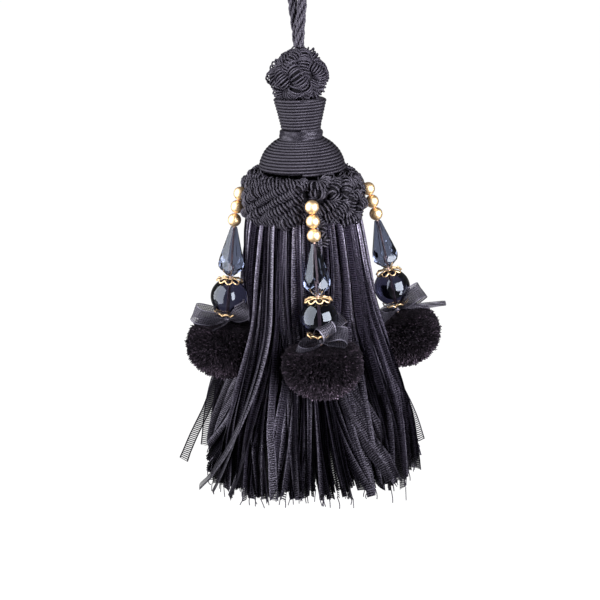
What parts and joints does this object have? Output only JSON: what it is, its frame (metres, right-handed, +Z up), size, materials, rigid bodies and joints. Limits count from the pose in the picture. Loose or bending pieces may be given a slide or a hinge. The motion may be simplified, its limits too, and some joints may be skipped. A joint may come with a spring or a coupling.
{
  "type": "key tassel",
  "caption": "Hanging key tassel with a knotted ball, gimp-wound head, plaited ruff and ribbed ribbon skirt, and strands of gold and glass beads with bows and pompoms.",
  "frame": {"origin": "inside top of the hanging loop, where a key, knob or hook holds the tassel", "axes": "+Z up along the tassel's axis, +X to the right seen from the front, front towards -Y"},
  "size_m": [0.0858, 0.0802, 0.2098],
  "materials": {
    "cord": "plied rayon cord, black",
    "gimp": "rayon gimp, black, soft sheen",
    "floss": "satin floss, black",
    "bullion": "crinkled bullion cord, black",
    "ribbon": "ribbed ribbon, black, satin ribs",
    "organza": "sheer organza, charcoal",
    "yarn": "cut wool-like yarn, matt black",
    "gold": "satin gold plate",
    "glass": "smoky navy glass, polished"
  },
  "bodies": {
    "root": {"hanging_loop": "cord", "top_knot": "gimp", "cup": "gimp", "neck_band": "floss", "dome": "gimp", "ruff": "bullion", "skirt": "ribbon", "front_gold_bead_1": "gold", "front_gold_bead_2": "gold", "front_gold_bead_3": "gold", "front_teardrop": "glass", "front_bead_cap": "gold", "front_round_bead": "glass", "front_lower_cap": "gold", "front_bow": "organza", "front_pompom": "yarn", "left_gold_bead_1": "gold", "left_gold_bead_2": "gold", "left_gold_bead_3": "gold", "left_teardrop": "glass", "left_bead_cap": "gold", "left_round_bead": "glass", "left_lower_cap": "gold", "left_bow": "organza", "left_pompom": "yarn", "right_gold_bead_1": "gold", "right_gold_bead_2": "gold", "right_gold_bead_3": "gold", "right_teardrop": "glass", "right_bead_cap": "gold", "right_round_bead": "glass", "right_lower_cap": "gold", "right_bow": "organza", "right_pompom": "yarn", "back_gold_bead_1": "gold", "back_gold_bead_2": "gold", "back_gold_bead_3": "gold", "back_teardrop": "glass", "back_bead_cap": "gold", "back_round_bead": "glass", "back_lower_cap": "gold", "back_bow": "organza", "back_pompom": "yarn"}
  },
  "joints": []
}
